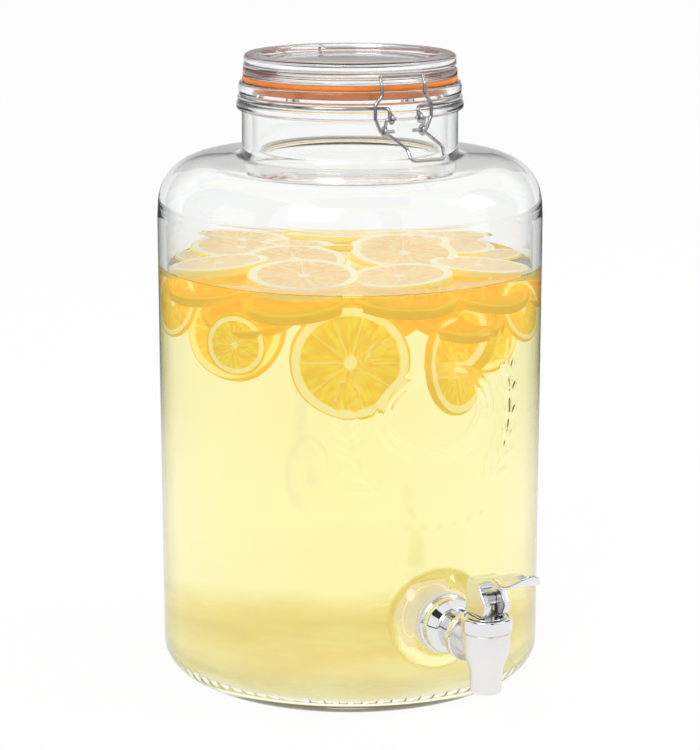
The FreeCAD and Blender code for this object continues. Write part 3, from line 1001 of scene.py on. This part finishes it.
@dataclass
class Lid:
    """The glass lid and its gasket."""

    rim_top: float = 338.35
    groove_top: float = 333.55
    flange_top: float = 330.75
    seat: float = 326.65
    seal_low: float = 323.95
    flange_radius: float = 57.5
    rim_radius: float = 56.9
    groove_radius: float = 55.4
    plug_radius: float = 49.8
    plug_wall: float = 5.0
    plug_depth: float = 6.0
    dish: float = 3.4
    dish_radius: float = 44.5
    dish_edge: float = 48.5
    top_thick: float = 6.5
    seal_inner: float = 50.5
    seal_outer: float = 57.8
    skirt: float = 5.0
    skirt_thick: float = 1.2
    finish: GlassFinish = field(default_factory=lambda: GlassFinish("lid_clear_glass", wave=0.03))
    # painted light: the gasket glows faintly to brighten its orange band
    seal: RubberFinish = field(default_factory=lambda: RubberFinish(
        "gasket_rubber", (0.82, 0.23, 0.03), (0.72, 0.18, 0.02), glow=0.15))

    def build(self) -> list[Object]:
        """Make the lid and the gasket.

        Returns:
            The two pieces.
        """
        hollow = self.rim_top - self.dish
        under = hollow - self.top_thick
        low = self.seat - self.plug_depth
        bore = self.plug_radius - self.plug_wall
        points = [
            (0, under, 0), (bore, under, 2.0), (bore, low, 1.6), (self.plug_radius, low, 1.6),
            (self.plug_radius, self.seat, 0), (self.flange_radius, self.seat, 1.2),
            (self.flange_radius, self.flange_top, 0.9), (self.groove_radius, self.flange_top, 0.5),
            (self.groove_radius, self.groove_top, 0.5), (self.rim_radius, self.groove_top, 0.9),
            (self.rim_radius, self.rim_top, 2.0), (self.dish_edge, self.rim_top, 1.6),
            (self.dish_radius, hollow, 3.0), (0, hollow, 0),
        ]
        glass = lathe("lid_shell", densify(rounded(points), 1.5), self.finish.make())
        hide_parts("glass_lid")
        hem = self.seal_low - self.skirt
        lip = self.seal_inner + self.skirt_thick
        ring = [(self.seal_inner, hem, 0.5), (lip, hem, 0.5), (lip + 0.2, self.seal_low, 0.3),
                (self.seal_outer, self.seal_low, 1.1), (self.seal_outer, self.seat, 1.1),
                (self.seal_inner, self.seat, 0.6)]
        gasket = lathe("gasket_ring", densify(rounded(ring, 15.0), 1.2), self.seal.make())
        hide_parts("lid_gasket")
        for piece in (glass, gasket):
            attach(piece, Body.LID.value)
        return [glass, gasket]


@dataclass
class Fruit:
    """Lemon slices and lemon ends shown in the drink.

    Each place is (side, front, height, lean, face, spin, scale): millimetres right of and in front of the
    jar's axis as the camera looks at it, height, lean of the cut face's normal above level, the direction
    that the face looks in, turned from the camera, the turn of the segments and the size.
    """

    radius: float = 28.0
    thick: float = 5.0
    columns: int = 72
    inside: float = 98.6
    view_turn: float = -26.5
    sunk: tuple[Place, ...] = (
        (0, 82, 188.5, 3, 0, 0, 1.06),
        (50, 62, 182.5, 8, 64, -15, 0.92),
        (-86, 26, 208, 24, -58, 35, 0.68),
        (-52, 40, 197, 20, -36, 10, 0.95),
        (84, 30, 205, 30, 62, 50, 0.66),
        (58, 40, 198, 30, 40, 10, 0.9),
    )
    raft: tuple[Place, ...] = (
        (-68, 36, 217, 80, -70, 25, 0.92),
        (-24, 64, 216, 78, -40, 60, 0.98),
        (26, 66, 217.5, 82, 30, 70, 0.95),
        (68, 40, 215.5, 76, 60, 40, 0.92),
        (-38, 8, 216, 84, 0, 20, 1),
        (40, 8, 217, 82, 20, 30, 1),
        (-80, 4, 210, 68, -90, 10, 0.6),
        (-46, 50, 208.5, 70, -30, 35, 0.9),
        (4, 50, 208, 74, 10, 5, 1.05),
        (50, 50, 207, 68, 40, 45, 0.95),
        (82, 6, 209, 70, 90, 15, 0.58),
        (-14, 12, 207, 74, 160, 50, 1),
        (-60, -36, 212, 76, -120, 15, 1),
        (0, -68, 212, 74, 180, 15, 1),
        (60, -34, 212, 78, 118, 45, 1),
    )
    floating: tuple[Place, ...] = (
        (-62, -34, 225.3, 86, 40, 0, 1.05),
        (-6, -64, 225.7, 94, 0, 20, 1.1),
        (54, -44, 225.1, 87, 80, 50, 1.05),
        (-30, -2, 224.7, 95, 200, 75, 1),
        (30, -10, 226.3, 84, 10, 10, 1.05),
        (-70, 18, 226.1, 85, 250, 40, 0.95),
        (69, 16, 224.5, 86, 120, 65, 0.98),
        (-24, 48, 224.9, 84, 10, 15, 1.05),
        (26, 46, 224.3, 86, 300, 80, 1),
        (-84, -14, 224.7, 85, 60, 5, 0.5),
        (84, -20, 224.7, 85, 290, 5, 0.5),
        (24, -80, 224.9, 86, 120, 5, 0.6),
        (-36, -76, 224.9, 86, 120, 35, 0.55),
    )
    ends: tuple[Place, ...] = (
        (-57, 70, 195, -4, -14, 20, 0.56),
        (56, 48, 192, -25, 150, 0, 0.62),
    )

    def slice_mesh(self, name: str, material: Material) -> Object:
        """Make one slice lying flat at the origin.

        Args:
            name: object name.
            material: its finish.

        Returns:
            The slice.
        """
        r, h = self.radius, self.thick / 2
        section = rounded([(0, -h * 0.8, 0), (r, -h, 1.2), (r, h, 1.2), (0, h * 0.8, 0)], 20.0)
        return lathe(name, densify(section, 5.0), material, even_columns(self.columns), self.ripple)

    def end_mesh(self, name: str, material: Material) -> Object:
        """Make one cut lemon end, its face up and its dome below.

        Args:
            name: object name.
            material: its finish.

        Returns:
            The lemon end.
        """
        r = self.radius
        wide, deep = r * 1.06, r * 0.85
        dome = [(wide * math.cos(a), -deep * math.sin(a) - 1.0) for a in np.linspace(-0.1, 1.45, 14)]
        section = [(0, 1.6), (r * 0.94, 1.8), *dome, (0, -deep - 1.0)]
        return lathe(name, section, material, even_columns(self.columns), self.ripple)

    def ripple(self, turn: Grid, radius: Grid, height: Grid) -> Grid:
        """Make a rim slightly uneven."""
        return radius * (1 + 0.012 * np.sin(3 * turn + 0.7) + 0.008 * np.sin(5 * turn))

    def settle(self, piece: Object, place: Place) -> None:
        """Turn and move one slice to its place.

        Args:
            piece: the slice, lying flat at the origin.
            place: one row of the tables above.
        """
        side, front, height, lean, face, spin, scale = place
        view, look, tilt = (math.radians(a) for a in (self.view_turn, self.view_turn + face, lean))
        toward = Vector((math.sin(view), -math.cos(view), 0))
        right = Vector((math.cos(view), math.sin(view), 0))
        out = Vector((math.sin(look), -math.cos(look), 0))
        normal = out * math.cos(tilt) + Vector((0, 0, 1)) * math.sin(tilt)
        centre = right * side + toward * front + Vector((0, 0, height))
        piece.data.transform(Matrix.Rotation(math.radians(spin), 4, "Z"))
        turned = normal.to_track_quat("Z", "Y").to_matrix().to_4x4()
        turned = turned @ Matrix.Scale(scale, 4)
        for _ in range(3):
            placed = Matrix.Translation(centre * MM) @ turned
            far = max((placed @ v.co for v in piece.data.vertices), key=lambda spot: spot.xy.length)
            over = max(0.0, far.xy.length / MM - self.inside)
            centre -= Vector((*far.xy.normalized(), 0)) * over
        piece.matrix_world = Matrix.Translation(centre * MM) @ turned
        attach(piece, Body.JAR.value)

    def build(self) -> list[Object]:
        """Make and place every slice.

        Returns:
            The slices and ends.
        """
        made = []
        size = self.radius * MM
        golden = FruitFinish("lemon_cut", size).make()
        # painted light: the floating slices take a paler, shinier lit copy of the lemon, and the slices
        # under the surface a deeper, more strongly glowing shaded copy
        pale = FruitFinish("lemon_floating_lit", size, flesh=(0.90, 0.62, 0.24), bright=(0.98, 0.78, 0.40),
                           pith=(1.0, 0.90, 0.62), rind=(0.97, 0.78, 0.22), segments=9, glow=0.24,
                           shine=0.5).make()
        deep = FruitFinish("lemon_under_shaded", size, flesh=(0.72, 0.43, 0.001), bright=(0.78, 0.49, 0.003),
                           pith=(0.80, 0.53, 0.012), rind=(0.76, 0.47, 0.002), glow=0.54,
                           membrane=0.35).make()
        for label, rows, build, finish in (("slice", self.sunk, self.slice_mesh, golden),
                                           ("under", self.raft, self.slice_mesh, deep),
                                           ("floating", self.floating, self.slice_mesh, pale),
                                           ("end", self.ends, self.end_mesh, golden)):
            for i, row in enumerate(rows):
                piece = build(f"lemon_{label}_{i + 1}", finish)
                self.settle(piece, row)
                made.append(piece)
        return made


@dataclass
class Hardware:
    """Finishes of the wires, the tap and its inner pieces."""

    chrome: MetalFinish = MetalFinish("bright_chrome", (0.80, 0.80, 0.81), 0.03, 0.05)
    wire: MetalFinish = MetalFinish("plated_wire", (0.50, 0.50, 0.52), 0.08, 0.10, 120.0)
    satin: MetalFinish = MetalFinish("satin_silver_plate", (0.86, 0.85, 0.82), 0.30, 0.06, 80.0,
                                     metallic=0.85, relief=0.05)
    steel: MetalFinish = MetalFinish("plain_steel", (0.6, 0.6, 0.6), 0.25, 0.1)
    nylon: MetalFinish = MetalFinish("white_nylon", (0.86, 0.86, 0.83), 0.45, 0.1, metallic=0.0)
    # painted light: the clear silicone glows faintly to lighten it, and the nut and inner washer inside the
    # drink glow to stand in for light reaching them through the glass
    silicone: RubberFinish = RubberFinish("clear_silicone", (0.92, 0.89, 0.82), (0.88, 0.85, 0.77),
                                          rough=0.35, clear=0.6, glow=0.16)
    inside: RubberFinish = RubberFinish("pale_nylon", (0.90, 0.80, 0.54), (0.86, 0.75, 0.47),
                                        rough=0.4, glow=0.5)

    def dress(self, nodes: dict[str, Object]) -> None:
        """Give every carried-over solid its finish.

        Args:
            nodes: the frame's solids by name.
        """
        table = {
            self.chrome: ("tap_flange", "tap_shank", "tap_collar", "tap_lever", "lever_pin"),
            self.wire: ("neck_wire", "lid_wire", "clamp_lever", "clamp_bail"),
            self.satin: ("tap_barrel",),
            self.steel: ("valve_stem", "return_spring"),
            self.nylon: ("stem_guide",),
            self.inside: ("lock_nut", "inner_washer"),
            self.silicone: ("outer_washer", "seat_cup"),
        }
        for finish, names in table.items():
            material = finish.make()
            for name in names:
                coat(nodes[name].data, material)


@dataclass
class TapLever:
    """The cast and polished lever, with softened edges and a curved paddle."""

    voxel: float = 0.4
    rounds: int = 7
    pin_back: float = 154.4
    pin_height: float = 77.75
    raise_top: float = 3.6
    rise_begin: float = -1.0
    rise_length: float = 10.0
    paddle_begin: float = 7.0
    reach: float = 49.0
    shorter: float = 5.0
    sweep: float = 1.7
    droop: float = 0.8
    half_width: float = 8.0

    def curve(self, mesh: bpy.types.Mesh) -> None:
        """Lift the top of the fork and sweep the paddle.

        Args:
            mesh: the lever's mesh.
        """
        place = get_points(mesh)
        out = -place[:, 1] / MM - self.pin_back
        up = place[:, 2] / MM - self.pin_height
        across = place[:, 0] / MM / self.half_width
        along = np.clip((out - self.paddle_begin) / (self.reach - self.paddle_begin), 0, 1)
        lift = self.raise_top * ease((up - self.rise_begin) / self.rise_length)
        lift += self.sweep * np.sin(along * 2 * math.pi) - self.droop * along * across ** 2
        place[:, 2] += lift * MM
        place[:, 1] += self.shorter * along * MM
        set_points(mesh, place)

    def build(self, node: Object, material: Material) -> Object:
        """Make the polished lever over its solid.

        Args:
            node: the lever's solid.
            material: its plating.

        Returns:
            The new lever.
        """
        rough = add_object("lever_rough", node.data.copy())
        melt = rough.modifiers.new("cast", "REMESH")
        melt.mode = "VOXEL"
        melt.voxel_size = self.voxel * MM
        polish = rough.modifiers.new("polish", "SMOOTH")
        polish.factor = 0.5
        polish.iterations = self.rounds
        shaped = rough.evaluated_get(bpy.context.evaluated_depsgraph_get())
        mesh = bpy.data.meshes.new_from_object(shaped)
        bpy.data.objects.remove(rough)
        self.curve(mesh)
        coat(mesh, material)
        mesh.shade_smooth()
        lever = add_object("polished_lever", mesh)
        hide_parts("tap_lever")
        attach(lever, Body.HANDLE.value)
        return lever


@dataclass
class StemSpring:
    """The return spring, a copy of its solid carried on the jar."""

    travel: float = 0.003
    slack: float = 0.003

    def build(self, node: Object, material: Material) -> Object:
        """Make the spring from a copy of its solid.

        Args:
            node: the spring's solid.
            material: its steel.

        Returns:
            The new spring.
        """
        spring = add_object("stem_spring", node.data.copy())
        coat(spring.data, material)
        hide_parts("return_spring")
        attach(spring, Body.JAR.value)
        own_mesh(spring)
        return spring


# Studio


@dataclass
class Studio:
    """Camera, floor, soft lamps and pale surroundings."""

    turn: float = -26.5
    distance: float = 1.36
    height: float = 0.475
    aim: tuple[float, float, float] = (0.0, 0.0, 0.1618)
    lens: float = 122.0
    floor_white: float = 0.95
    floor_grey: float = 0.94
    world_level: float = 0.62
    mat_grey: float = 0.12
    mat_edge: Point2 = (0.35, 0.85)
    lamp_aim: float = 0.18

    def camera(self) -> None:
        """Place the camera at the photograph's viewing angle."""
        data = bpy.data.cameras.new("camera")
        data.sensor_width = 36.0
        data.lens = self.lens
        data.dof.use_dof = False
        cam = add_object("camera", data)
        a = math.radians(self.turn)
        cam.location = (self.distance * math.sin(a), -self.distance * math.cos(a), self.height)
        cam.rotation_euler = (Vector(self.aim) - cam.location).to_track_quat("-Z", "Y").to_euler()
        bpy.context.scene.camera = cam

    def world(self) -> None:
        """Make white surroundings that light the object at a plain level."""
        s = Shader("surroundings", world=True)
        bpy.context.scene.world = s.material
        back = s.node("ShaderNodeBackground")
        back.inputs["Color"].default_value = (1.0, 1.0, 1.0, 1.0)
        level = s.node("ShaderNodeMapRange")
        level.inputs["To Min"].default_value = self.world_level
        s.link(s.seen(), level.inputs["Value"])
        s.link(level.outputs["Result"], back.inputs["Strength"])
        s.link(back.outputs[0], s.out.inputs["Surface"])

    def glow(self, s: Shader, level: float) -> Socket:
        """Add a plain grey light.

        Args:
            s: the material being written.
            level: brightness.

        Returns:
            The shader socket.
        """
        made = s.node("ShaderNodeEmission")
        made.inputs["Color"].default_value = (level, level, level, 1.0)
        return made.outputs[0]

    def mix(self, s: Shader, share: Socket, first: Socket,
            second: Socket) -> None:
        """Mix two shaders into the output.

        Args:
            s: the material being written.
            share: how much of the second shows.
            first: shader socket where the share is 0.
            second: shader socket where the share is 1.
        """
        made = s.node("ShaderNodeMixShader")
        for place, value in enumerate((share, first, second)):
            s.link(value, made.inputs[place])
        s.link(made.outputs[0], s.out.inputs["Surface"])

    def sheet(self, name: str, size: float, height: float, material: Material) -> Object:
        """Return one flat square of the stage.

        Args:
            name: object name.
            size: side in metres.
            height: height above the ground in metres.
            material: its material.

        Returns:
            The new square.
        """
        bpy.ops.mesh.primitive_plane_add(size=size, location=(0, 0, height))
        made = bpy.context.object
        made.name = name
        made.data.materials.append(material)
        return made

    def reflect_only(self, piece: Object) -> None:
        """Let a piece of the stage show in reflections and nowhere else.

        Args:
            piece: the card or mat.
        """
        piece.visible_camera = False
        piece.visible_diffuse = False
        piece.visible_shadow = False
        piece.visible_transmission = False

    def floor(self) -> None:
        """Make the pale floor that keeps a soft shadow."""
        s = Shader("pale_floor")
        matte = s.node("ShaderNodeBsdfDiffuse")
        matte.inputs["Color"].default_value = (self.floor_grey, self.floor_grey, self.floor_grey, 1.0)
        share = s.math("MULTIPLY", s.seen(), self.floor_white)
        self.mix(s, share, matte.outputs[0], self.glow(s, 1.0))
        self.sheet("floor", 16.0, -0.0005, s.material)

    def flag(self, name: str, place: tuple[float, float, float], size: tuple[float, float],
             level: float) -> None:
        """Hang one plain grey card round the object, seen only in reflections.

        Args:
            name: object name.
            place: degrees right of the camera's side, degrees above level and metres from the middle.
            size: width and height in metres.
            level: the card's brightness.
        """
        s = Shader(name + "_card")
        s.link(self.glow(s, level), s.out.inputs["Surface"])
        card = self.sheet(name, 1.0, JAR_MIDDLE, s.material)
        a, up = math.radians(self.turn + place[0]), math.radians(place[1])
        out = Vector((math.sin(a) * math.cos(up), -math.cos(a) * math.cos(up), math.sin(up)))
        card.location += out * place[2]
        card.rotation_euler = out.to_track_quat("Z", "Y").to_euler()
        card.scale = (size[0], size[1], 1.0)
        self.reflect_only(card)

    def mat(self) -> None:
        """Lay a grey mat that only reflections show, clear of the object and soft at its inner edge."""
        s = Shader("grey_mat")
        away = s.node("ShaderNodeVectorMath", operation="LENGTH")
        s.link(s.node("ShaderNodeTexCoord").outputs["Object"], away.inputs[0])
        clear = s.node("ShaderNodeBsdfTransparent")
        share = s.smooth(away.outputs["Value"], *self.mat_edge)
        self.mix(s, share, clear.outputs[0], self.glow(s, self.mat_grey))
        self.reflect_only(self.sheet("mat", 5.0, 0.001, s.material))

    def lamp(self, name: str, place: tuple[float, float, float], size: float, power: float) -> None:
        """Hang one soft square lamp aimed at the jar.

        Args:
            name: object name.
            place: position in metres.
            size: side in metres.
            power: watts.
        """
        data = bpy.data.lights.new(name, "AREA")
        data.shape = "SQUARE"
        data.size = size
        data.energy = power
        lamp = add_object(name, data)
        lamp.location = place
        look = Vector((0, 0, self.lamp_aim)) - lamp.location
        lamp.rotation_euler = look.to_track_quat("-Z", "Y").to_euler()

    def build(self) -> None:
        """Set up the whole studio."""
        bpy.context.scene.view_settings.view_transform = "Standard"
        self.camera()
        self.world()
        self.floor()
        for side, name in ((-1, "left"), (1, "right")):
            self.flag("card_" + name, (side * 98, 12, 0.8), (0.4, 1.2), 0.16)
        self.mat()
        self.flag("card_high", (-72, 42, 1.1), (0.7, 0.5), 0.04)
        self.flag("card_back", (180, 21, 0.95), (0.9, 0.24), 0.55)
        self.flag("card_top", (10, 62, 1.2), (0.9, 0.5), 0.03)
        self.flag("strip_front", (24, 17, 1.9), (0.4, 1.6), 0.03)
        self.flag("strip_side", (-52, 15, 1.7), (0.3, 1.5), 0.05)
        self.lamp("lamp_left", (-1.2, -1.0, 1.4), 0.9, 14.0)
        self.lamp("lamp_right", (1.3, -0.6, 1.2), 0.7, 9.0)


def main() -> None:
    """Build every sub-assembly and the studio, in order."""
    logging.basicConfig(level=logging.INFO, format="%(name)s: %(message)s")
    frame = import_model()
    nodes = frame["nodes"]
    Hardware().dress(nodes)
    lever = TapLever().build(nodes["tap_lever"], nodes["tap_lever"].data.materials[0])
    spring = StemSpring().build(nodes["return_spring"], nodes["return_spring"].data.materials[0])
    for piece in (lever, spring):
        LOG.info("made %s", piece.name)
    for part in (Jar(), Lid(), Fruit()):
        for piece in part.build():
            LOG.info("made %s", piece.name)
    Studio().build()


if __name__ == "__main__":
    main()
